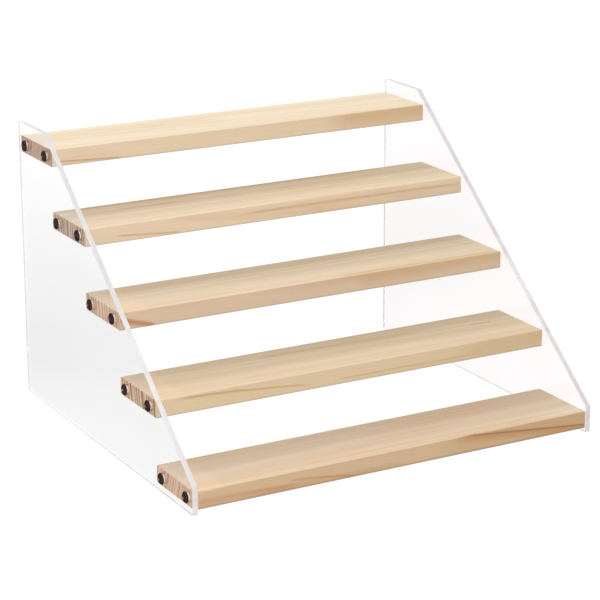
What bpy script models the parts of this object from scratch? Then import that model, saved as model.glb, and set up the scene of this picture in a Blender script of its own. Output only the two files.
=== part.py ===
"""A five-tier stepped display rack for nail polish bottles.

Two clear acrylic side panels carry five equal pine shelves, each one set back and above the one in
front of it. Every shelf end is held by two black cross-recessed truss-head screws, which pass through
clearance holes in the panel into pilot holes in the end grain. Nothing on the rack moves.

Metres, +Z up. The origin is under the middle of the rack on the surface it stands on. The rack faces
-Y and its shelves run along X.
"""

import math

import bmesh
import bpy

# Shelves
TIERS = 5
SHELF_LENGTH = 0.400
SHELF_DEPTH = 0.0735
SHELF_THICKNESS = 0.016
SHELF_ARRIS = 0.0008
TIER_RUN = 0.072
TIER_RISE = 0.059
UNDER_FIRST_SHELF = 0.0045

# Side panels
PANEL_THICKNESS = 0.005
PANEL_DEPTH = 0.363
PANEL_HEIGHT = 0.270
PANEL_FRONT_HEIGHT = 0.025
PANEL_TOP_FLAT = 0.0625
PANEL_EDGE_BREAK = 0.0004

# Screws
HEAD_DIAMETER = 0.0105
HEAD_RIM = 0.0010
HEAD_DOME = 0.0021
SHANK_DIAMETER = 0.005
SCREW_LENGTH = 0.030
TIP_LENGTH = 0.004
RECESS_SPAN = 0.0050
RECESS_WIDTH = 0.0011
RECESS_DEPTH = 0.0017
SCREW_PITCH = 0.048
SCREW_FROM_SHELF_FRONT = 0.0115
SCREW_BELOW_SHELF_TOP = 0.0075
SCREW_TURN_STEP = math.radians(37)

# Holes
CLEARANCE_HOLE = 0.007
PILOT_HOLE = 0.0056
PILOT_DEPTH = 0.026

# Fits and facets
FIT_GAP = 0.0003
MERGE = 0.00001
TURNED_STEPS = 16
DOME_STEPS = 4
HOLE_SIDES = 16
SMOOTH_ANGLE = math.radians(35)

PANEL_INNER_X = SHELF_LENGTH / 2 + FIT_GAP
PANEL_OUTER_X = PANEL_INNER_X + PANEL_THICKNESS
FRONT_Y = -PANEL_DEPTH / 2
SIDES = {"left": -1, "right": 1}
SCREW_PLACES = {"front": SCREW_FROM_SHELF_FRONT, "rear": SCREW_FROM_SHELF_FRONT + SCREW_PITCH}


def clear_scene():
    for item in list(bpy.data.objects):
        bpy.data.objects.remove(item, do_unlink=True)


def new_collection(name):
    group = bpy.data.collections.new(name)
    bpy.context.scene.collection.children.link(group)
    return group


def material(name, color, roughness, metallic=0.0, transmission=0.0, alpha=1.0):
    made = bpy.data.materials.new(name)
    made.use_nodes = True
    shader = made.node_tree.nodes["Principled BSDF"]
    shader.inputs["Base Color"].default_value = (*color, 1.0)
    shader.inputs["Roughness"].default_value = roughness
    shader.inputs["Metallic"].default_value = metallic
    shader.inputs["Transmission Weight"].default_value = transmission
    shader.inputs["IOR"].default_value = 1.49
    shader.inputs["Alpha"].default_value = alpha
    made.diffuse_color = (*color, alpha)
    return made


def add_object(name, mesh, group):
    made = bpy.data.objects.new(name, mesh)
    group.objects.link(made)
    return made


def block_mesh(name, size):
    mesh = bpy.data.meshes.new(name)
    shape = bmesh.new()
    bmesh.ops.create_cube(shape, size=1.0)
    bmesh.ops.scale(shape, vec=size, verts=shape.verts)
    shape.to_mesh(mesh)
    shape.free()
    return mesh


def rod_mesh(name, diameter, length, sides):
    mesh = bpy.data.meshes.new(name)
    shape = bmesh.new()
    bmesh.ops.create_cone(shape, cap_ends=True, segments=sides, radius1=diameter / 2,
                          radius2=diameter / 2, depth=length)
    shape.to_mesh(mesh)
    shape.free()
    return mesh


def add_cutter(name, mesh, group, location, rotation=(0, 0, 0)):
    made = add_object(name, mesh, group)
    made.location = location
    made.rotation_euler = rotation
    made.hide_render = True
    made.display_type = "WIRE"
    return made


def cut(target, cutter):
    boolean = target.modifiers.new(cutter.name, "BOOLEAN")
    boolean.operation = "DIFFERENCE"
    boolean.solver = "EXACT"
    boolean.object = cutter


def round_edges(target, width, segments):
    bevel = target.modifiers.new("round_edges", "BEVEL")
    bevel.width = width
    bevel.segments = segments
    bevel.limit_method = "ANGLE"
    bevel.angle_limit = math.radians(20)


def evaluated_mesh(item, name):
    """The item's mesh with its modifiers applied, or a curve's mesh."""
    bpy.context.view_layer.update()
    depsgraph = bpy.context.evaluated_depsgraph_get()
    mesh = bpy.data.meshes.new_from_object(item.evaluated_get(depsgraph))
    mesh.name = name
    return mesh


def smooth(mesh):
    mesh.shade_smooth()
    mesh.set_sharp_from_angle(angle=SMOOTH_ANGLE)


def shelf_front_y(tier):
    """Tier 1 is the lowest, its front edge in line with the front of the panels."""
    return FRONT_Y + (tier - 1) * TIER_RUN


def shelf_top_z(tier):
    return UNDER_FIRST_SHELF + SHELF_THICKNESS + (tier - 1) * TIER_RISE


def screw_centres():
    """Yields (tier, place, y, z) for the two screws at one end of each shelf."""
    for tier in range(1, TIERS + 1):
        for place, inset in SCREW_PLACES.items():
            yield tier, place, shelf_front_y(tier) + inset, shelf_top_z(tier) - SCREW_BELOW_SHELF_TOP


def panel_outline():
    """The side panel seen from +X, as (y, z): a low front edge, the long slope and a short flat top."""
    back_y = FRONT_Y + PANEL_DEPTH
    return [
        (FRONT_Y, 0),
        (back_y, 0),
        (back_y, PANEL_HEIGHT),
        (back_y - PANEL_TOP_FLAT, PANEL_HEIGHT),
        (FRONT_Y, PANEL_FRONT_HEIGHT),
    ]


def panel_blank():
    """The panel's plate as one closed mesh, lying in its outline's own plane."""
    curve = bpy.data.curves.new("panel_outline", "CURVE")
    curve.dimensions = "2D"
    curve.fill_mode = "BOTH"
    curve.extrude = PANEL_THICKNESS / 2
    points = panel_outline()
    spline = curve.splines.new("POLY")
    spline.points.add(len(points) - 1)
    for point, (y, z) in zip(spline.points, points):
        point.co = (y, z, 0, 1)
    spline.use_cyclic_u = True
    outline = bpy.data.objects.new("panel_outline", curve)
    bpy.context.scene.collection.objects.link(outline)
    mesh = evaluated_mesh(outline, "side_panel")
    bpy.data.objects.remove(outline, do_unlink=True)
    shape = bmesh.new()
    shape.from_mesh(mesh)
    bmesh.ops.remove_doubles(shape, verts=shape.verts, dist=MERGE)
    bmesh.ops.dissolve_limit(shape, angle_limit=math.radians(1), verts=shape.verts, edges=shape.edges)
    bmesh.ops.recalc_face_normals(shape, faces=shape.faces)
    shape.to_mesh(mesh)
    shape.free()
    return mesh


def make_panels(parts, cutters, finish):
    """Two plates, mirror images only in where they stand, each drilled for ten screws."""
    blank = panel_blank()
    drill = rod_mesh("panel_drill", CLEARANCE_HOLE, PANEL_THICKNESS * 3, HOLE_SIDES)
    for side, sign in SIDES.items():
        panel = add_object(f"{side}_side_panel", blank.copy(), parts)
        panel.data.materials.append(finish)
        middle_x = sign * (PANEL_INNER_X + PANEL_THICKNESS / 2)
        panel.location = (middle_x, 0, 0)
        panel.rotation_euler = (math.pi / 2, 0, math.pi / 2)
        round_edges(panel, PANEL_EDGE_BREAK, 1)
        for tier, place, y, z in screw_centres():
            name = f"{side}_panel_drill_{tier}_{place}"
            cut(panel, add_cutter(name, drill, cutters, (middle_x, y, z), (0, math.pi / 2, 0)))


def make_shelves(parts, cutters, finishes):
    """Five equal boards with their long edges eased and two pilot holes in each end."""
    drill = rod_mesh("shelf_drill", PILOT_HOLE, PILOT_DEPTH * 2, HOLE_SIDES)
    for tier in range(1, TIERS + 1):
        mesh = block_mesh(f"shelf_{tier}", (SHELF_LENGTH, SHELF_DEPTH, SHELF_THICKNESS))
        shelf = add_object(f"shelf_{tier}", mesh, parts)
        shelf.data.materials.append(finishes[tier])
        shelf.location = (0, shelf_front_y(tier) + SHELF_DEPTH / 2, shelf_top_z(tier) - SHELF_THICKNESS / 2)
        round_edges(shelf, SHELF_ARRIS, 2)
        for side, sign in SIDES.items():
            for place, inset in SCREW_PLACES.items():
                location = (sign * SHELF_LENGTH / 2, shelf_front_y(tier) + inset,
                            shelf_top_z(tier) - SCREW_BELOW_SHELF_TOP)
                name = f"shelf_{tier}_drill_{side}_{place}"
                cut(shelf, add_cutter(name, drill, cutters, location, (0, math.pi / 2, 0)))


def screw_profile():
    """Half the turned outline as (radius, height), from the top of the dome down to the tip.
    Height 0 is the underside of the head."""
    head_radius = HEAD_DIAMETER / 2
    dome_radius = (head_radius ** 2 + HEAD_DOME ** 2) / (2 * HEAD_DOME)
    dome_angle = math.asin(head_radius / dome_radius)
    points = []
    for step in range(DOME_STEPS + 1):
        angle = dome_angle * step / DOME_STEPS
        drop = dome_radius * (1 - math.cos(angle))
        points.append((dome_radius * math.sin(angle), HEAD_RIM + HEAD_DOME - drop))
    points.append((head_radius, 0))
    points.append((SHANK_DIAMETER / 2, 0))
    points.append((SHANK_DIAMETER / 2, TIP_LENGTH - SCREW_LENGTH))
    points.append((0, -SCREW_LENGTH))
    return points


def screw_mesh(cutters):
    """One turned screw along Z with a cross recess in its head."""
    mesh = bpy.data.meshes.new("screw_profile")
    shape = bmesh.new()
    corners = [shape.verts.new((radius, 0, height)) for radius, height in screw_profile()]
    for upper, lower in zip(corners, corners[1:]):
        shape.edges.new((upper, lower))
    shape.to_mesh(mesh)
    shape.free()
    blank = bpy.data.objects.new("screw_blank", mesh)
    bpy.context.scene.collection.objects.link(blank)
    turn = blank.modifiers.new("turn", "SCREW")
    turn.axis = "Z"
    turn.angle = math.tau
    turn.steps = TURNED_STEPS
    turn.render_steps = TURNED_STEPS
    turn.use_merge_vertices = True
    turn.merge_threshold = MERGE
    head_top = HEAD_RIM + HEAD_DOME
    slot = block_mesh("recess_slot", (RECESS_SPAN, RECESS_WIDTH, RECESS_DEPTH * 2))
    for name, turned in (("recess_slot_a", 0), ("recess_slot_b", math.pi / 2)):
        cut(blank, add_cutter(name, slot, cutters, (0, 0, head_top), (0, 0, turned)))
    finished = evaluated_mesh(blank, "screw")
    bpy.data.objects.remove(blank, do_unlink=True)
    return finished


def make_screws(parts, cutters, finish):
    """Twenty screws that share one mesh, each driven home at its own angle."""
    mesh = screw_mesh(cutters)
    mesh.materials.append(finish)
    smooth(mesh)
    driven = 0
    for side, sign in SIDES.items():
        for tier, place, y, z in screw_centres():
            screw = add_object(f"screw_{side}_{tier}_{place}", mesh, parts)
            screw.rotation_mode = "XYZ"
            screw.location = (sign * (PANEL_OUTER_X + FIT_GAP), y, z)
            screw.rotation_euler = (0, sign * math.pi / 2, 0)
            screw.rotation_euler.rotate_axis("Z", driven * SCREW_TURN_STEP)
            driven += 1


def shelf_finishes():
    """Planed pine, each board cut from another plank; the top one is the palest."""
    tones = {
        1: (0.72, 0.55, 0.36),
        2: (0.74, 0.56, 0.37),
        3: (0.72, 0.53, 0.35),
        4: (0.76, 0.58, 0.40),
        5: (0.84, 0.70, 0.49),
    }
    return {tier: material(f"pine_{tier}", tone, 0.55) for tier, tone in tones.items()}


def main():
    clear_scene()
    parts = new_collection("nail_polish_rack")
    cutters = new_collection("cutters")
    acrylic = material("clear_acrylic", (0.94, 0.95, 0.96), 0.03, transmission=0.9, alpha=0.35)
    black_steel = material("black_oxide_steel", (0.02, 0.018, 0.018), 0.35, metallic=0.85)
    make_panels(parts, cutters, acrylic)
    make_shelves(parts, cutters, shelf_finishes())
    make_screws(parts, cutters, black_steel)


main()
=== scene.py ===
"""Looks of the nail polish rack: clear acrylic side panels, planed pine shelves and black screws.

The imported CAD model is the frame. Every piece here stands for one CAD node, and takes its place and
size from that node's box.
"""

import math

import bmesh
import bpy
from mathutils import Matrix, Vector


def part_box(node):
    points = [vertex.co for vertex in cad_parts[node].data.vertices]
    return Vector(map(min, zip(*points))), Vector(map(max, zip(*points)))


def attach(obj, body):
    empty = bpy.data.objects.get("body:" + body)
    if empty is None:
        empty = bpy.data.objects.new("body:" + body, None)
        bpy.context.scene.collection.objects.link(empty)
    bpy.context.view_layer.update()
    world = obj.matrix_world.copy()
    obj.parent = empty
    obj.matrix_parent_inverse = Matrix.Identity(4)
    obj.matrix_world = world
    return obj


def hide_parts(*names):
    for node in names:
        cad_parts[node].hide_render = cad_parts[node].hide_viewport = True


# Side panels, as the frame has them
PANEL_FRONT_HEIGHT = 0.025
PANEL_TOP_FLAT = 0.0625
PANEL_ARRIS = 0.0004
CLEARANCE_HOLE = 0.007
ACRYLIC_IOR = 1.49
FACE, EDGE, BORE, ARRIS = range(4)

# Shelves
SHELF_ARRIS = 0.0005
PILOT_HOLE = 0.0044
PILOT_DEPTH = 0.026

# Growth rings: how far they wander from true circles, coarsely and finely, how much the years differ in
# width, and the part of a year in which its wood darkens
RING_WANDER = 0.012
RING_RIPPLE = 0.0012
YEAR_SPREAD = 1.2
DARKENS = (0.30, 0.93)

# Where a tone or a streak begins and where it is full, from a board's middle: y for the front face, z for
# the top and for the painted shade along the lower edges
FRONT_TONE = (-0.0355, -0.0366)
FRONT_STREAKS = (-0.0335, -0.0365)
TOP_STREAKS = (0.0055, 0.0075)
LOWER_EDGE_SHADE = (-0.0058, -0.0074)
LOWER_EDGE_SHADE_TONE = (0.84, 0.86, 0.91)

# Streaks: how far their edge wavers, the shares of the width over which the sharp side comes in and the
# soft side fades out, and how high run * (1 - run) has come when a tip is full and when it tops out
STREAK_WAVER = 0.0016
STREAK_EDGE = (-0.25, 0.20)
STREAK_FADE = (1.0, 0.2)
STREAK_TIPS = 0.13
ARCH_TOP = 0.25

# The rosy and the creamy clouds in the wood, as shares of its own colour
ROSY = (1.0, 0.92, 0.86)
CREAMY = (0.98, 1.02, 0.95)

# Screws. The sharpness is how many times a crest's flank would rise to full height within one pitch
HEAD_RIM = 0.0010
HEAD_DOME = 0.0021
HEAD_EDGE = HEAD_RIM * 0.25
DOME_STEPS = 10
SHANK_LENGTH = 0.030
PLAIN_SHANK = 0.0055
TIP_LENGTH = 0.005
THREAD_PITCH = 0.0018
THREAD_RADIUS = 0.0025
THREAD_ROOT = 0.0018
THREAD_SHARPNESS = 3.2
SCREW_SIDES = 40
RINGS_A_TURN = 6
SCREW_TURN_STEP = math.radians(37)

# Cross recess: each blade's length and thickness at its top and at its foot
RECESS_DEPTH = 0.0026
RECESS_ABOVE = 0.0004
BLADE_TOP = (0.0056, 0.00115)
BLADE_FOOT = (0.0020, 0.0008)
CONE_TOP = 0.0014
CONE_FOOT = 0.0005

# Light: how bright the white surround is to matt surfaces, and how bright the sky is in reflections
SKY_TO_MATT = 0.64
FLOOR_TO_MATT = 0.60
SKY_TO_GLOSS = 0.45
LIGHT_BOUNCES = 40

# Floor: in reflections its brightness is the sum of two ramps, each from one distance off the rack's
# middle to another, and from one level to another. The dim ring between them is a painted shadow of the
# rack.
FLOOR_COLOR = (0.03, 0.03, 0.03)
FLOOR_HALF_SIDE = 6.0
FLOOR_BELOW_RACK = 0.0002
PAINTED_SHADOW_INNER = (0.18, 0.36, 0.64, 0.34)
PAINTED_SHADOW_OUTER = (0.45, 1.15, 0.0, 0.46)

# Lamps: name, location, size and watts
LAMPS_AIM = (0, 0, 0.1)
LAMPS = (
    ("over_back", (-0.2, 0.9, 1.5), (1.2, 0.8), 8.5),
    ("overhead", (0.0, 0.0, 1.6), (1.2, 1.2), 2.5),
    ("front_left", (-1.2, -1.5, 1.0), (1.0, 1.0), 15),
)

# Camera
CAMERA_LOCATION = (-0.9540, -1.7217, 0.7183)
CAMERA_AZIMUTH = math.radians(28.97)
CAMERA_ELEVATION = math.radians(15.60)
CAMERA_ROLL = math.radians(-0.16)
CAMERA_LENS = 131.3
CAMERA_SENSOR = 36
CAMERA_SHIFT = -0.1

TIERS = (1, 2, 3, 4, 5)
SIDES = {"left": -1, "right": 1}
PLACES = ("front", "rear")

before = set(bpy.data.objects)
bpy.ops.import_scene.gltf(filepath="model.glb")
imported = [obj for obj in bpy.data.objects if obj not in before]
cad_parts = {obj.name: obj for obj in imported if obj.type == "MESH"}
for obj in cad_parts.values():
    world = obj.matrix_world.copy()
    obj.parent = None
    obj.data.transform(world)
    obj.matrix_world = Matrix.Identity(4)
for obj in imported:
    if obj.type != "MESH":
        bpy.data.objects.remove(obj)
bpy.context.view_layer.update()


# ---------------------------------------------------------------- nodes

class Nodes:
    """Adds shader nodes to a material. An input is a plain value or another node's socket."""

    def __init__(self, material):
        self.tree = material.node_tree
        self.shader = self.tree.nodes.get("Principled BSDF")

    def add(self, kind, inputs=None, **settings):
        node = self.tree.nodes.new(kind)
        for name, value in settings.items():
            setattr(node, name, value)
        for key, value in (inputs or {}).items():
            self.feed(node.inputs[key], value)
        return node

    def feed(self, socket, value):
        if isinstance(value, bpy.types.NodeSocket):
            self.tree.links.new(value, socket)
        else:
            socket.default_value = value

    def math(self, operation, first, second=0.0, third=0.0):
        """One Math node."""
        return self.add("ShaderNodeMath", {0: first, 1: second, 2: third}, operation=operation).outputs[0]

    def spread(self, value, low, high, new_low=0.0, new_high=1.0, smooth=False):
        """Turns low to high into new_low to new_high, and holds still past both ends."""
        inputs = {"Value": value, "From Min": low, "From Max": high, "To Min": new_low, "To Max": new_high}
        kind = "SMOOTHSTEP" if smooth else "LINEAR"
        return self.add("ShaderNodeMapRange", inputs, interpolation_type=kind).outputs["Result"]

    def blend(self, factor, first, second):
        """The first number where factor is 0, and the second where it is 1."""
        node = self.add("ShaderNodeMix", data_type="FLOAT")
        for key, value in (("Factor", factor), ("A", first), ("B", second)):
            self.feed(node.inputs[key], value)
        return node.outputs["Result"]

    def noise(self, place, stretch, shift, detail=3.0, roughness=0.5):
        """Noise from 0 to 1 whose grains are 1/stretch metres long each way."""
        moved = self.add("ShaderNodeMapping", {"Vector": place, "Location": shift, "Scale": stretch})
        inputs = {"Vector": moved.outputs[0], "Scale": 1.0, "Detail": detail, "Roughness": roughness}
        return self.add("ShaderNodeTexNoise", inputs).outputs["Fac"]

    def uneven(self, count, scale, detail):
        """Noise from 0 to 1 along a line."""
        inputs = {"W": count, "Scale": scale, "Detail": detail}
        return self.add("ShaderNodeTexNoise", inputs, noise_dimensions="1D").outputs["Fac"]

    def mix(self, factor, first, second, blend="MIX"):
        """The first colour where factor is 0, and the second, or their blend, where it is 1."""
        node = self.add("ShaderNodeMix", data_type="RGBA", blend_type=blend)
        self.feed(node.inputs["Factor"], factor)
        for key, value in (("A", first), ("B", second)):
            plain = not isinstance(value, bpy.types.NodeSocket)
            self.feed(node.inputs[key], (*value, 1) if plain else value)
        return node.outputs["Result"]

    def bump(self, height, strength, distance):
        """Gives the shader a surface that rises by up to distance metres where height is 1."""
        inputs = {"Strength": strength, "Distance": distance, "Height": height}
        self.feed(self.shader.inputs["Normal"], self.add("ShaderNodeBump", inputs).outputs["Normal"])


def new_material(name, color, roughness, metallic=0.0):
    """A material whose Principled BSDF has these plain values."""
    made = bpy.data.materials.new(name)
    made.use_nodes = True
    shader = made.node_tree.nodes["Principled BSDF"]
    shader.inputs["Base Color"].default_value = (*color, 1)
    shader.inputs["Roughness"].default_value = roughness
    shader.inputs["Metallic"].default_value = metallic
    return made


def srgb(red, green, blue):
    """A colour given as on screen, up to 255 and not near black, in linear light."""
    return tuple(((share / 255 + 0.055) / 1.055) ** 2.4 for share in (red, green, blue))


# ---------------------------------------------------------------- pine

class Plank:
    """How one shelf was sawn: where the tree's heart lay from the middle of the board, how far the grain
    leans as it runs along the board, how wide its growth rings are, the colours of its spring and summer
    wood, how its front face's colour differs from its top's, the two colours of its end grain, and its
    streaks. The front face's difference is partly its own warmer tone and partly painted shade."""

    def __init__(self, heart, lean, ring, shift, early, late, front, ends, streaks=()):
        self.heart = heart
        self.lean = lean
        self.ring = ring
        self.shift = shift
        self.early = early
        self.late = late
        self.front = front
        self.ends = ends
        self.streaks = streaks


class Streak:
    """A darker or paler streak on a board's top or front face. It runs from start to end, each given as
    (along, across) from the board's middle, and bows up by a little halfway. Its upper or rear side is
    sharp, and it fades out over its width on the other."""

    def __init__(self, face, start, end, width, color, strength, bow=0.0):
        self.face = face
        self.start = start
        self.end = end
        self.width = width
        self.color = color
        self.strength = strength
        self.bow = bow


UMBER = srgb(124, 86, 46)
AMBER = srgb(190, 134, 72)
HONEY = srgb(206, 166, 112)
RUST = srgb(190, 122, 80)
CREAM = srgb(255, 219, 182)

# Painted light: a paler patch across the left end of the tops of the three lower boards, beside the left
# panel
PAINTED_LIGHT_END = Streak("top", (-0.240, 0.0770), (-0.170, 0.0770), 0.2000, CREAM, 0.32)

PLANKS = {
    1: Plank(
        heart=(0.16, 0.045), lean=(0.010, 0.012), ring=0.0056, shift=11.3,
        early=srgb(236, 216, 189), late=srgb(214, 182, 151), front=(0.89, 0.79, 0.66),
        ends=(srgb(244, 196, 158), srgb(196, 142, 100)),
        streaks=(
            Streak("front", (0.030, 0.0100), (0.400, 0.0100), 0.0240, AMBER, 0.28),
            Streak("front", (0.050, 0.0110), (0.245, -0.0085), 0.0095, AMBER, 0.50),
            Streak("front", (0.055, 0.0103), (0.245, -0.0085), 0.0022, UMBER, 0.55),
            Streak("front", (-0.215, 0.0000), (-0.100, -0.0030), 0.0080, RUST, 0.35, 0.0010),
            Streak("front", (-0.160, -0.0015), (0.010, -0.0035), 0.0060, AMBER, 0.26),
            # Painted shadow: a thin dark line along the bottom of the front face
            Streak("front", (-0.300, -0.0060), (0.300, -0.0060), 0.0040, UMBER, 0.22),
            Streak("front", (-0.115, 0.0020), (-0.035, -0.0085), 0.0028, AMBER, 0.6, 0.0015),
            Streak("top", (-0.300, -0.0200), (0.200, -0.0220), 0.0200, HONEY, 0.32),
            PAINTED_LIGHT_END,
        ),
    ),
    2: Plank(
        heart=(-0.19, 0.030), lean=(-0.012, 0.010), ring=0.0060, shift=27.1,
        early=srgb(236, 216, 186), late=srgb(211, 180, 143), front=(0.97, 0.96, 0.91),
        ends=(srgb(248, 200, 152), srgb(94, 54, 26)),
        streaks=(
            Streak("front", (-0.190, 0.0068), (-0.045, -0.0035), 0.0024, HONEY, 0.8, 0.0018),
            Streak("front", (-0.178, 0.0066), (-0.110, 0.0035), 0.0009, UMBER, 0.4, 0.0008),
            Streak("front", (-0.030, -0.0026), (0.135, -0.0028), 0.0020, HONEY, 0.6, 0.0003),
            Streak("front", (0.090, 0.0100), (0.420, 0.0100), 0.0260, HONEY, 0.3),
            Streak("top", (0.148, 0.0105), (0.173, 0.0098), 0.0026, srgb(158, 122, 70), 0.6),
            Streak("top", (-0.080, 0.0240), (0.110, 0.0180), 0.0090, HONEY, 0.4),
            PAINTED_LIGHT_END,
        ),
    ),
    3: Plank(
        heart=(0.21, -0.040), lean=(0.014, -0.008), ring=0.0060, shift=43.9,
        early=srgb(238, 220, 192), late=srgb(212, 184, 150), front=(0.91, 0.84, 0.83),
        ends=(srgb(252, 206, 166), srgb(188, 138, 98)),
        streaks=(
            Streak("front", (-0.215, 0.0080), (-0.166, -0.0070), 0.0080, RUST, 0.8),
            Streak("front", (0.030, 0.0070), (0.230, 0.0110), 0.0160, HONEY, 0.5),
            Streak("top", (0.010, -0.0290), (0.220, -0.0300), 0.0080, HONEY, 0.55),
            PAINTED_LIGHT_END,
        ),
    ),
    4: Plank(
        heart=(-0.17, 0.020), lean=(0.008, 0.015), ring=0.0058, shift=61.7,
        early=srgb(238, 218, 189), late=srgb(211, 181, 147), front=(0.99, 0.96, 0.95),
        ends=(srgb(220, 176, 134), srgb(74, 44, 22)),
        streaks=(
            Streak("front", (-0.175, -0.0010), (-0.105, -0.0060), 0.0024, AMBER, 0.5),
            Streak("front", (-0.060, 0.0028), (0.215, 0.0024), 0.0036, HONEY, 0.6, 0.0006),
            Streak("top", (-0.150, 0.0170), (-0.080, 0.0150), 0.0050, RUST, 0.25),
            # Painted shade: a darker band along the rear of the top, where the shelf above shades it
            Streak("top", (-0.270, 0.0400), (0.170, 0.0390), 0.0180, HONEY, 0.45),
        ),
    ),
    5: Plank(
        heart=(0.20, 0.050), lean=(-0.010, -0.012), ring=0.0058, shift=83.3,
        early=srgb(244, 228, 202), late=srgb(222, 195, 160), front=(0.95, 0.90, 0.86),
        ends=(srgb(196, 134, 80), srgb(116, 68, 34)),
        streaks=(
            Streak("front", (-0.205, -0.0025), (-0.130, -0.0065), 0.0020, AMBER, 0.7),
            Streak("front", (0.080, 0.0100), (0.380, 0.0100), 0.0240, HONEY, 0.55),
            Streak("top", (-0.088, 0.0120), (-0.064, 0.0110), 0.0050, HONEY, 0.35),
            Streak("top", (-0.260, 0.0190), (0.010, 0.0150), 0.0360, HONEY, 0.24),
        ),
    ),
}


def grain(nodes, plank):
    """Sockets for the place on the board, its growth rings from 0 in spring wood to 1 in summer wood, the
    slow change of tone over many rings, and the fine fibre."""
    place = nodes.add("ShaderNodeTexCoord").outputs["Object"]
    x, y, z = nodes.add("ShaderNodeSeparateXYZ", {0: place}).outputs
    drift = plank.shift
    wander = nodes.noise(place, stretch=(3.0, 14.0, 14.0), shift=(drift, 0, 0), detail=2.0)
    ripple = nodes.noise(place, stretch=(14.0, 60.0, 60.0), shift=(drift, 5, 0), detail=3.0)
    across = nodes.math("MULTIPLY_ADD", x, -plank.lean[0], nodes.math("SUBTRACT", y, plank.heart[0]))
    above = nodes.math("MULTIPLY_ADD", x, -plank.lean[1], nodes.math("SUBTRACT", z, plank.heart[1]))
    radius = nodes.math("SQRT", nodes.math("ADD", nodes.math("MULTIPLY", across, across),
                                           nodes.math("MULTIPLY", above, above)))
    radius = nodes.math("MULTIPLY_ADD", wander, RING_WANDER, radius)
    radius = nodes.math("MULTIPLY_ADD", ripple, RING_RIPPLE, radius)
    count = nodes.math("DIVIDE", radius, plank.ring)
    count = nodes.math("MULTIPLY_ADD", nodes.uneven(count, 0.45, 1.0), YEAR_SPREAD, count)
    part = nodes.math("FRACT", count)
    rise = nodes.spread(part, *DARKENS, smooth=True)
    fall = nodes.spread(part, DARKENS[1], 1.0, 1.0, 0.0)
    dark = nodes.math("MULTIPLY", rise, fall)
    broad = nodes.spread(nodes.uneven(count, 0.23, 3.0), 0.35, 0.65)
    fibre = nodes.noise(place, stretch=(26.0, 1500.0, 1500.0), shift=(drift, 0, 9), detail=4.0,
                        roughness=0.65)
    return place, dark, broad, fibre


def streaked(nodes, place, color, plank):
    """The colour with the board's streaks laid over it: most are marks in the wood, and some are painted
    light and painted shade.
    """
    x, y, z = nodes.add("ShaderNodeSeparateXYZ", {0: place}).outputs
    waver = nodes.noise(place, stretch=(16.0, 90.0, 90.0), shift=(plank.shift, 3, 3), detail=4.0)
    waver = nodes.math("MULTIPLY_ADD", waver, STREAK_WAVER, -STREAK_WAVER / 2)
    on_front = nodes.spread(y, *FRONT_STREAKS, smooth=True)
    on_top = nodes.spread(z, *TOP_STREAKS, smooth=True)
    for streak in plank.streaks:
        height, near = (z, on_front) if streak.face == "front" else (y, on_top)
        run = nodes.spread(x, streak.start[0], streak.end[0])
        level = nodes.spread(run, 0.0, 1.0, streak.start[1], streak.end[1])
        arch = nodes.math("MULTIPLY", run, nodes.math("SUBTRACT", 1.0, run))
        level = nodes.math("ADD", level, waver)
        level = nodes.math("MULTIPLY_ADD", arch, streak.bow / ARCH_TOP, level)
        under = nodes.math("SUBTRACT", level, height)
        edge = nodes.spread(under, *(share * streak.width for share in STREAK_EDGE), smooth=True)
        fade = nodes.spread(under, *(share * streak.width for share in STREAK_FADE), smooth=True)
        tips = nodes.spread(arch, 0.0, STREAK_TIPS, smooth=True)
        crosswise = nodes.math("MULTIPLY", edge, fade)
        cover = nodes.math("MULTIPLY", crosswise, nodes.math("MULTIPLY", tips, near))
        color = nodes.mix(nodes.math("MULTIPLY", cover, streak.strength), color, streak.color)
    return color


def shaded(nodes, color, *shares):
    """The colour times grey shares."""
    total = shares[0]
    for share in shares[1:]:
        total = nodes.math("MULTIPLY", total, share)
    grey = nodes.add("ShaderNodeCombineColor", {0: total, 1: total, 2: total}).outputs[0]
    return nodes.mix(1.0, color, grey, "MULTIPLY")


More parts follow.
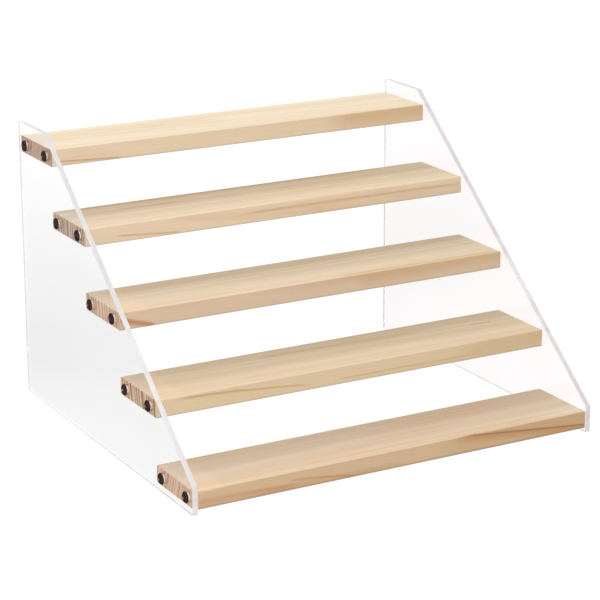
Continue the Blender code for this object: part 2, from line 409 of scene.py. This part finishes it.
def side_grain(tier):
    """A board's long faces: growth rings, pink and cream clouds, fibre, pores, streaks and painted shade
    along the lower edges.
    """
    plank = PLANKS[tier]
    made = new_material(f"pine_{tier}", plank.early, 0.55)
    nodes = Nodes(made)
    place, dark, broad, fibre = grain(nodes, plank)
    cloud = nodes.noise(place, stretch=(6.0, 45.0, 45.0), shift=(plank.shift, 1, 1), detail=3.0)
    line = nodes.math("MULTIPLY", dark, nodes.spread(cloud, 0.3, 0.7, 0.15, 0.55))
    band = nodes.math("MULTIPLY", broad, 0.45)
    color = nodes.mix(nodes.math("MAXIMUM", line, band), plank.early, plank.late)
    blush = nodes.spread(cloud, 0.50, 0.70, 0.0, 0.55, smooth=True)
    color = nodes.mix(blush, color, nodes.mix(1.0, color, ROSY, "MULTIPLY"))
    cream = nodes.spread(cloud, 0.46, 0.30, 0.0, 0.6, smooth=True)
    color = nodes.mix(cream, color, nodes.mix(1.0, color, CREAMY, "MULTIPLY"))
    color = shaded(nodes, color, nodes.spread(fibre, 0.25, 0.75, 0.94, 1.04))
    ticks = nodes.noise(place, stretch=(90.0, 2600.0, 2600.0), shift=(plank.shift, 7, 7), detail=1.0)
    tick = nodes.math("MULTIPLY", nodes.spread(ticks, 0.70, 0.76), 0.35)
    color = nodes.mix(tick, color, plank.late)
    _, y, z = nodes.add("ShaderNodeSeparateXYZ", {0: place}).outputs
    # The front face's tone: partly its own warmer colour and partly painted shade that darkens the front
    on_front = nodes.spread(y, *FRONT_TONE, smooth=True)
    color = nodes.mix(on_front, color, nodes.mix(1.0, color, plank.front, "MULTIPLY"))
    # Painted shade: the lowest strip of each long face is darker and greyer
    lower_edge_shade = nodes.spread(z, *LOWER_EDGE_SHADE, smooth=True)
    color = nodes.mix(lower_edge_shade, color, nodes.mix(1.0, color, LOWER_EDGE_SHADE_TONE, "MULTIPLY"))
    color = streaked(nodes, place, color, plank)
    nodes.feed(nodes.shader.inputs["Base Color"], color)
    nodes.feed(nodes.shader.inputs["Roughness"], nodes.spread(fibre, 0.2, 0.8, 0.62, 0.50))
    nodes.bump(nodes.math("MULTIPLY_ADD", dark, 0.6, fibre), strength=0.25, distance=0.00012)
    nodes.shader.inputs["Specular IOR Level"].default_value = 0.35
    return made


def end_grain(tier):
    """A board's sawn ends: the same rings, met end on, and open pores."""
    plank = PLANKS[tier]
    made = new_material(f"pine_{tier}_end", plank.late, 0.8)
    nodes = Nodes(made)
    place, dark, broad, _ = grain(nodes, plank)
    color = nodes.mix(nodes.math("POWER", dark, 2.0), *plank.ends)
    pores = nodes.noise(place, stretch=(500.0, 2400.0, 2400.0), shift=(plank.shift, 2, 2), detail=2.0)
    color = shaded(nodes, color, nodes.spread(pores, 0.25, 0.75, 0.86, 1.08),
                   nodes.spread(broad, 0.0, 1.0, 1.04, 0.92))
    nodes.feed(nodes.shader.inputs["Base Color"], color)
    nodes.bump(nodes.math("MULTIPLY_ADD", dark, 0.5, pores), strength=0.4, distance=0.0002)
    nodes.shader.inputs["Specular IOR Level"].default_value = 0.2
    return made


# ---------------------------------------------------------------- acrylic and steel

def lets_light_by(nodes, tint):
    """Light from lamps, and light that a matt surface gathers, goes straight through."""
    path = nodes.add("ShaderNodeLightPath")
    through = nodes.add("ShaderNodeBsdfTransparent", {"Color": (*tint, 1)}).outputs[0]
    shader = nodes.shader.outputs[0]
    for ray in ("Is Diffuse Ray", "Is Shadow Ray"):
        shader = nodes.add("ShaderNodeMixShader", {0: path.outputs[ray], 1: shader, 2: through}).outputs[0]
    nodes.feed(nodes.tree.nodes["Material Output"].inputs["Surface"], shader)


def acrylic_face(name, pale, deep):
    """The polished face of clear cast sheet, a little uneven in its tint."""
    made = new_material(name, pale, 0.0)
    nodes = Nodes(made)
    nodes.shader.inputs["IOR"].default_value = ACRYLIC_IOR
    nodes.shader.inputs["Transmission Weight"].default_value = 1.0
    place = nodes.add("ShaderNodeTexCoord").outputs["Object"]
    cloud = nodes.noise(place, stretch=(6.0, 6.0, 6.0), shift=(4, 2, 0), detail=1.0)
    color = nodes.mix(nodes.spread(cloud, 0.35, 0.65), deep, pale)
    nodes.feed(nodes.shader.inputs["Base Color"], color)
    lets_light_by(nodes, (0.99, 0.99, 0.99))
    return made


def acrylic_cut(name, color, roughness, clear, grain_size, painted_glow, painted_glow_inside):
    """A sawn or drilled face of the sheet: milky, with fine tool marks. It has a painted glow, an emission
    that stands in for the light the sheet pipes to it, a little from outside and more when seen through the
    sheet."""
    made = new_material(name, color, roughness)
    nodes = Nodes(made)
    nodes.shader.inputs["IOR"].default_value = ACRYLIC_IOR
    nodes.shader.inputs["Transmission Weight"].default_value = clear
    # Painted glow: the face emits light though it is no lamp, more when seen from inside the sheet
    nodes.shader.inputs["Emission Color"].default_value = (*color, 1)
    inside = nodes.add("ShaderNodeNewGeometry").outputs["Backfacing"]
    nodes.feed(nodes.shader.inputs["Emission Strength"], nodes.spread(inside, 0.0, 1.0, painted_glow, painted_glow_inside))
    place = nodes.add("ShaderNodeTexCoord").outputs["Object"]
    marks = nodes.noise(place, stretch=[1 / grain_size] * 3, shift=(0, 0, 0), detail=2.0)
    shade = tuple(c * 0.94 for c in color)
    nodes.feed(nodes.shader.inputs["Base Color"], nodes.mix(nodes.spread(marks, 0.3, 0.7), shade, color))
    nodes.bump(marks, strength=0.1, distance=0.00005)
    lets_light_by(nodes, (0.9, 0.9, 0.9))
    return made


def steel(name, dull, bright, roughness, grazing):
    """Blotchy steel between two colours. grazing: the colour of its reflections at a shallow angle."""
    made = new_material(name, dull, roughness, 0.85)
    nodes = Nodes(made)
    nodes.shader.inputs["Specular Tint"].default_value = (*grazing, 1)
    place = nodes.add("ShaderNodeTexCoord").outputs["Object"]
    blotch = nodes.noise(place, stretch=(900.0, 900.0, 900.0), shift=(0, 0, 0), detail=3.0)
    uneven = nodes.spread(blotch, 0.3, 0.7, roughness - 0.06, roughness + 0.08)
    nodes.feed(nodes.shader.inputs["Roughness"], uneven)
    nodes.feed(nodes.shader.inputs["Base Color"], nodes.mix(nodes.spread(blotch, 0.35, 0.75), dull, bright))
    pits = nodes.noise(place, stretch=(4000.0, 4000.0, 4000.0), shift=(0, 0, 0), detail=2.0)
    nodes.bump(pits, strength=0.15, distance=0.00005)
    return made


# ---------------------------------------------------------------- mesh helpers

def link(name, mesh):
    made = bpy.data.objects.new(name, mesh)
    bpy.context.scene.collection.objects.link(made)
    return made


def mesh_from(shape, name):
    mesh = bpy.data.meshes.new(name)
    shape.to_mesh(mesh)
    shape.free()
    return mesh


def rod(name, radius, length, center, sides=48):
    """A cutter along X."""
    shape = bmesh.new()
    bmesh.ops.create_cone(shape, cap_ends=True, segments=sides, radius1=radius, radius2=radius,
                          depth=length)
    made = link(name, mesh_from(shape, name))
    made.rotation_euler = (0, math.pi / 2, 0)
    made.location = center
    return made


def cut(target, cutters, material_mode="INDEX"):
    """TRANSFER leaves each cutter's own material on the faces it cuts."""
    for cutter in cutters:
        boolean = target.modifiers.new(cutter.name, "BOOLEAN")
        boolean.operation = "DIFFERENCE"
        boolean.solver = "EXACT"
        boolean.material_mode = material_mode
        boolean.object = cutter


def bevel(target, width, segments, material_index=-1):
    made = target.modifiers.new("arris", "BEVEL")
    made.material = material_index
    made.width = width
    made.segments = segments
    made.limit_method = "ANGLE"
    made.angle_limit = math.radians(40)
    made.harden_normals = True


def settle(target, cutters=()):
    """Applies the piece's modifiers and removes its cutters."""
    bpy.context.view_layer.update()
    done = bpy.data.meshes.new_from_object(target.evaluated_get(bpy.context.evaluated_depsgraph_get()))
    done.name = target.data.name
    target.modifiers.clear()
    target.data = done
    for cutter in cutters:
        bpy.data.objects.remove(cutter, do_unlink=True)


def box_middle(node):
    low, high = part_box(node)
    return (low + high) / 2, high - low


def finish_piece(piece, node):
    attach(piece, "root")
    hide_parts(node)


def screw_axis(side, tier, place):
    """Where the screw goes through its panel."""
    middle, _ = box_middle(f"screw_{side}_{tier}_{place}")
    panel, _ = box_middle(f"{side}_side_panel")
    return Vector((panel.x, middle.y, middle.z))


# ---------------------------------------------------------------- panels

def panel_blank(name, low, high):
    """The panel's plate: a low front edge, a long slope, a short flat top, a plumb back and a level foot."""
    outline = [
        (low.y, low.z),
        (high.y, low.z),
        (high.y, high.z),
        (high.y - PANEL_TOP_FLAT, high.z),
        (low.y, low.z + PANEL_FRONT_HEIGHT),
    ]
    shape = bmesh.new()
    face = shape.faces.new([shape.verts.new((low.x, y, z)) for y, z in outline])
    raised = bmesh.ops.extrude_face_region(shape, geom=[face])["geom"]
    moved = [v for v in raised if isinstance(v, bmesh.types.BMVert)]
    bmesh.ops.translate(shape, verts=moved, vec=(high.x - low.x, 0, 0))
    bmesh.ops.recalc_face_normals(shape, faces=shape.faces)
    return link(name, mesh_from(shape, name))


def make_panel(side, materials):
    """materials: in the order of FACE, EDGE, BORE and ARRIS."""
    low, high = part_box(f"{side}_side_panel")
    panel = panel_blank(f"{side}_panel_acrylic", low, high)
    axes = [screw_axis(side, tier, place) for tier in TIERS for place in PLACES]
    drills = [rod("panel_drill", CLEARANCE_HOLE / 2, (high.x - low.x) * 3, axis) for axis in axes]
    cut(panel, drills)
    settle(panel, drills)
    for material in materials:
        panel.data.materials.append(material)
    for polygon in panel.data.polygons:
        near = min((polygon.center - axis).yz.length for axis in axes)
        if abs(polygon.normal.x) > 0.5:
            polygon.material_index = FACE
        elif near < CLEARANCE_HOLE:
            polygon.material_index = BORE
        else:
            polygon.material_index = EDGE
    bevel(panel, PANEL_ARRIS, 2, ARRIS)
    settle(panel)
    finish_piece(panel, f"{side}_side_panel")


# ---------------------------------------------------------------- shelves

def make_shelf(tier):
    """A planed board with a pilot hole in its end grain for each screw."""
    middle, size = box_middle(f"shelf_{tier}")
    shape = bmesh.new()
    bmesh.ops.create_cube(shape, size=1.0)
    bmesh.ops.scale(shape, vec=size, verts=shape.verts)
    shelf = link(f"shelf_{tier}_board", mesh_from(shape, f"shelf_{tier}_board"))
    shelf.location = middle
    bevel(shelf, SHELF_ARRIS, 4)
    drills = []
    for side, sign in SIDES.items():
        for place in PLACES:
            axis = screw_axis(side, tier, place)
            center = (middle.x + sign * size.x / 2, axis.y, axis.z)
            drills.append(rod("shelf_drill", PILOT_HOLE / 2, PILOT_DEPTH * 2, center, 24))
    cut(shelf, drills)
    settle(shelf, drills)
    shelf.data.materials.append(side_grain(tier))
    shelf.data.materials.append(end_grain(tier))
    for polygon in shelf.data.polygons:
        at_end = abs(polygon.center.x) > size.x / 2 - SHELF_ARRIS
        polygon.material_index = 1 if at_end else 0
    finish_piece(shelf, f"shelf_{tier}")


# ---------------------------------------------------------------- screws

def head_profile(radius):
    """(radius, height) down the domed head, from its crown to the neck. Height 0 is its underside."""
    dome = (radius ** 2 + HEAD_DOME ** 2) / (2 * HEAD_DOME)
    widest = math.asin(radius / dome)
    points = []
    for step in range(DOME_STEPS + 1):
        angle = widest * step / DOME_STEPS
        points.append((dome * math.sin(angle), HEAD_RIM + HEAD_DOME - dome * (1 - math.cos(angle))))
    points.append((radius, HEAD_EDGE))
    points.append((radius - HEAD_EDGE, 0))
    points.append((THREAD_RADIUS, 0))
    points.append((THREAD_RADIUS, -PLAIN_SHANK))
    return points


def thread_radius(turn, depth):
    """The threaded shank's radius at an angle and a depth below the head."""
    phase = (depth / THREAD_PITCH - turn / math.tau) % 1
    crest = max(0, 1 - abs(phase - 0.5) * THREAD_SHARPNESS)
    starting = min(1, (depth - PLAIN_SHANK) / THREAD_PITCH)
    ending = min(1, (SHANK_LENGTH - depth) / TIP_LENGTH)
    smooth_shank = THREAD_RADIUS + (THREAD_ROOT - THREAD_RADIUS) * starting
    return (smooth_shank + (THREAD_RADIUS - THREAD_ROOT) * crest * starting) * ending


def screw_blank(radius):
    """The screw's closed skin along Z: turned head, plain neck, threaded shank and point."""
    turns = [math.tau * k / SCREW_SIDES for k in range(SCREW_SIDES)]
    rows = [[(r, z)] * SCREW_SIDES for r, z in head_profile(radius)[1:]]
    threaded = SHANK_LENGTH - PLAIN_SHANK
    count = round(threaded / THREAD_PITCH * RINGS_A_TURN)
    for step in range(1, count):
        depth = PLAIN_SHANK + threaded * step / count
        rows.append([(thread_radius(turn, depth), -depth) for turn in turns])
    shape = bmesh.new()
    crown = shape.verts.new((0, 0, HEAD_RIM + HEAD_DOME))
    point = shape.verts.new((0, 0, -SHANK_LENGTH))
    rings = []
    for row in rows:
        ring = []
        for turn, (r, z) in zip(turns, row):
            ring.append(shape.verts.new((r * math.cos(turn), r * math.sin(turn), z)))
        rings.append(ring)
    for k in range(SCREW_SIDES):
        after = (k + 1) % SCREW_SIDES
        shape.faces.new((crown, rings[0][k], rings[0][after]))
        shape.faces.new((point, rings[-1][after], rings[-1][k]))
        for upper, lower in zip(rings, rings[1:]):
            shape.faces.new((upper[k], lower[k], lower[after], upper[after]))
    bmesh.ops.recalc_face_normals(shape, faces=shape.faces)
    return link("screw_blank", mesh_from(shape, "screw"))


def recess_cutters(material):
    """A cross recess: two crossed blades that narrow downwards, and the cone they meet in."""
    top = HEAD_RIM + HEAD_DOME + RECESS_ABOVE
    cutters = []
    for name, turn in (("blade_a", 0), ("blade_b", math.pi / 2)):
        shape = bmesh.new()
        bmesh.ops.create_cube(shape, size=1.0)
        for corner in shape.verts:
            wide, thick = BLADE_TOP if corner.co.z > 0 else BLADE_FOOT
            corner.co = (corner.co.x * wide, corner.co.y * thick, corner.co.z * RECESS_DEPTH)
        blade = link(name, mesh_from(shape, name))
        blade.rotation_euler = (0, 0, turn)
        cutters.append(blade)
    shape = bmesh.new()
    bmesh.ops.create_cone(shape, cap_ends=True, segments=24, radius1=CONE_FOOT, radius2=CONE_TOP,
                          depth=RECESS_DEPTH)
    cutters.append(link("recess_cone", mesh_from(shape, "recess_cone")))
    for cutter in cutters:
        cutter.location = (0, 0, top - RECESS_DEPTH / 2)
        cutter.data.materials.append(material)
    return cutters


def make_screws(coated, scuffed_and_highlit):
    """Twenty screws that share one mesh, each turned a little further than the last."""
    _, size = box_middle("screw_left_1_rear")
    blank = screw_blank(max(size.y, size.z) / 2)
    blank.data.materials.append(coated)
    cutters = recess_cutters(scuffed_and_highlit)
    cut(blank, cutters, "TRANSFER")
    settle(blank, cutters)
    mesh = blank.data
    bpy.data.objects.remove(blank, do_unlink=True)
    mesh.shade_smooth()
    mesh.set_sharp_from_angle(angle=math.radians(32))
    driven = 0
    for side, sign in SIDES.items():
        for tier in TIERS:
            for place in PLACES:
                node = f"screw_{side}_{tier}_{place}"
                low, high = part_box(node)
                crown_x = low.x if sign < 0 else high.x
                axis = screw_axis(side, tier, place)
                screw = link(f"{node}_steel", mesh)
                screw.location = (crown_x - sign * (HEAD_RIM + HEAD_DOME), axis.y, axis.z)
                screw.rotation_euler = (0, sign * math.pi / 2, 0)
                screw.rotation_euler.rotate_axis("Z", driven * SCREW_TURN_STEP)
                finish_piece(screw, node)
                driven += 1


# ---------------------------------------------------------------- studio

def level_by_ray(nodes, to_matt, to_gloss):
    """How bright a white surround looks: full to the eye and straight through acrylic, to_gloss once a ray
    has been reflected, and to_matt where it lights a matt surface."""
    path = nodes.add("ShaderNodeLightPath").outputs
    reflected = nodes.math("MINIMUM", path["Glossy Depth"], 1.0)
    beyond = nodes.math("SUBTRACT", 1.0, reflected)
    bounced = nodes.math("MAXIMUM", path["Is Glossy Ray"], path["Is Transmission Ray"])
    level = nodes.blend(bounced, to_matt, to_gloss)
    straight = nodes.math("MAXIMUM", path["Is Camera Ray"], path["Is Transmission Ray"])
    seen = nodes.math("MULTIPLY", straight, beyond)
    return nodes.blend(seen, level, 1.0)


def make_floor():
    """A plain white floor. In reflections it carries a painted shadow: it is dimmer about the rack than
    under it or far from it.
    """
    shape = bmesh.new()
    bmesh.ops.create_grid(shape, x_segments=1, y_segments=1, size=FLOOR_HALF_SIDE)
    floor = link("studio_floor", mesh_from(shape, "studio_floor"))
    floor.location = (0, 0, -FLOOR_BELOW_RACK)
    material = new_material("pale_floor", FLOOR_COLOR, 0.9)
    nodes = Nodes(material)
    nodes.feed(nodes.shader.inputs["Emission Color"], (1, 1, 1, 1))
    place = nodes.add("ShaderNodeTexCoord").outputs["Object"]
    away = nodes.add("ShaderNodeVectorMath", {0: place}, operation="LENGTH").outputs["Value"]
    # Painted shadow of the rack, seen in reflections
    near = nodes.spread(away, *PAINTED_SHADOW_INNER)
    far = nodes.spread(away, *PAINTED_SHADOW_OUTER)
    to_gloss = nodes.math("ADD", near, far)
    nodes.feed(nodes.shader.inputs["Emission Strength"], level_by_ray(nodes, FLOOR_TO_MATT, to_gloss))
    floor.data.materials.append(material)


def add_area(name, location, size, power):
    light = bpy.data.lights.new(name, "AREA")
    light.shape = "RECTANGLE"
    light.size, light.size_y = size
    light.energy = power
    made = bpy.data.objects.new(name, light)
    made.location = location
    made.rotation_euler = (Vector(LAMPS_AIM) - Vector(location)).to_track_quat("-Z", "Y").to_euler()
    made.visible_camera = False
    made.visible_transmission = False
    bpy.context.scene.collection.objects.link(made)


def make_world():
    world = bpy.data.worlds.new("studio")
    world.use_nodes = True
    bpy.context.scene.world = world
    sky = world.node_tree.nodes["Background"]
    sky.inputs["Color"].default_value = (1, 1, 1, 1)
    nodes = Nodes(world)
    nodes.feed(sky.inputs["Strength"], level_by_ray(nodes, SKY_TO_MATT, SKY_TO_GLOSS))


def make_camera():
    camera = bpy.data.objects.new("camera", bpy.data.cameras.new("camera"))
    bpy.context.scene.collection.objects.link(camera)
    camera.data.lens = CAMERA_LENS
    camera.data.sensor_width = CAMERA_SENSOR
    camera.data.shift_y = CAMERA_SHIFT
    camera.data.clip_end = 50
    camera.location = CAMERA_LOCATION
    level = math.cos(CAMERA_ELEVATION)
    ahead = Vector((math.sin(CAMERA_AZIMUTH) * level, math.cos(CAMERA_AZIMUTH) * level,
                    -math.sin(CAMERA_ELEVATION)))
    turned = ahead.to_track_quat("-Z", "Y").to_euler()
    turned.rotate_axis("Z", CAMERA_ROLL)
    camera.rotation_euler = turned
    bpy.context.scene.camera = camera


def make_studio():
    make_floor()
    make_world()
    for lamp in LAMPS:
        add_area(*lamp)
    make_camera()
    scene = bpy.context.scene
    scene.view_settings.view_transform = "Standard"
    scene.cycles.max_bounces = LIGHT_BOUNCES
    scene.cycles.transmission_bounces = LIGHT_BOUNCES
    scene.cycles.glossy_bounces = LIGHT_BOUNCES
    scene.cycles.transparent_max_bounces = 16


def make_cuts():
    """The sheet's sawn edges, drilled holes and broken arrises."""
    # Each cut face has a painted glow, as emission
    edge = acrylic_cut("acrylic_edge", (0.865, 0.835, 0.84), roughness=0.55, clear=0.55,
                       grain_size=0.0008, painted_glow=0.055, painted_glow_inside=0.20)
    bore = acrylic_cut("acrylic_bore", (0.94, 0.82, 0.77), roughness=0.45, clear=0.10,
                       grain_size=0.0006, painted_glow=0.16, painted_glow_inside=0.16)
    arris = acrylic_cut("acrylic_arris", (0.87, 0.86, 0.87), roughness=0.50, clear=0.50,
                        grain_size=0.0006, painted_glow=0.10, painted_glow_inside=0.26)
    return edge, bore, arris


def make_rack():
    """Every piece of the rack, each with its own material."""
    faces = {
        "left": acrylic_face("acrylic_face_left", (1.0, 1.0, 1.0), (0.985, 0.985, 0.985)),
        "right": acrylic_face("acrylic_face_right", (1.0, 0.985, 0.988), (0.995, 0.965, 0.965)),
    }
    cuts = make_cuts()
    for side in SIDES:
        make_panel(side, (faces[side], *cuts))
    for tier in TIERS:
        make_shelf(tier)
    coated = steel("black_oxide_steel", dull=(0.055, 0.034, 0.029), bright=(0.120, 0.078, 0.068),
                   roughness=0.36, grazing=(0.16, 0.12, 0.12))
    # The recess walls are lighter steel: partly scuffed by the driver, partly a painted highlight
    scuffed_and_highlit = steel("driver_recess", dull=(0.30, 0.22, 0.20), bright=(0.46, 0.36, 0.33),
                    roughness=0.38, grazing=(1.0, 1.0, 1.0))
    make_screws(coated, scuffed_and_highlit)


make_rack()
make_studio()
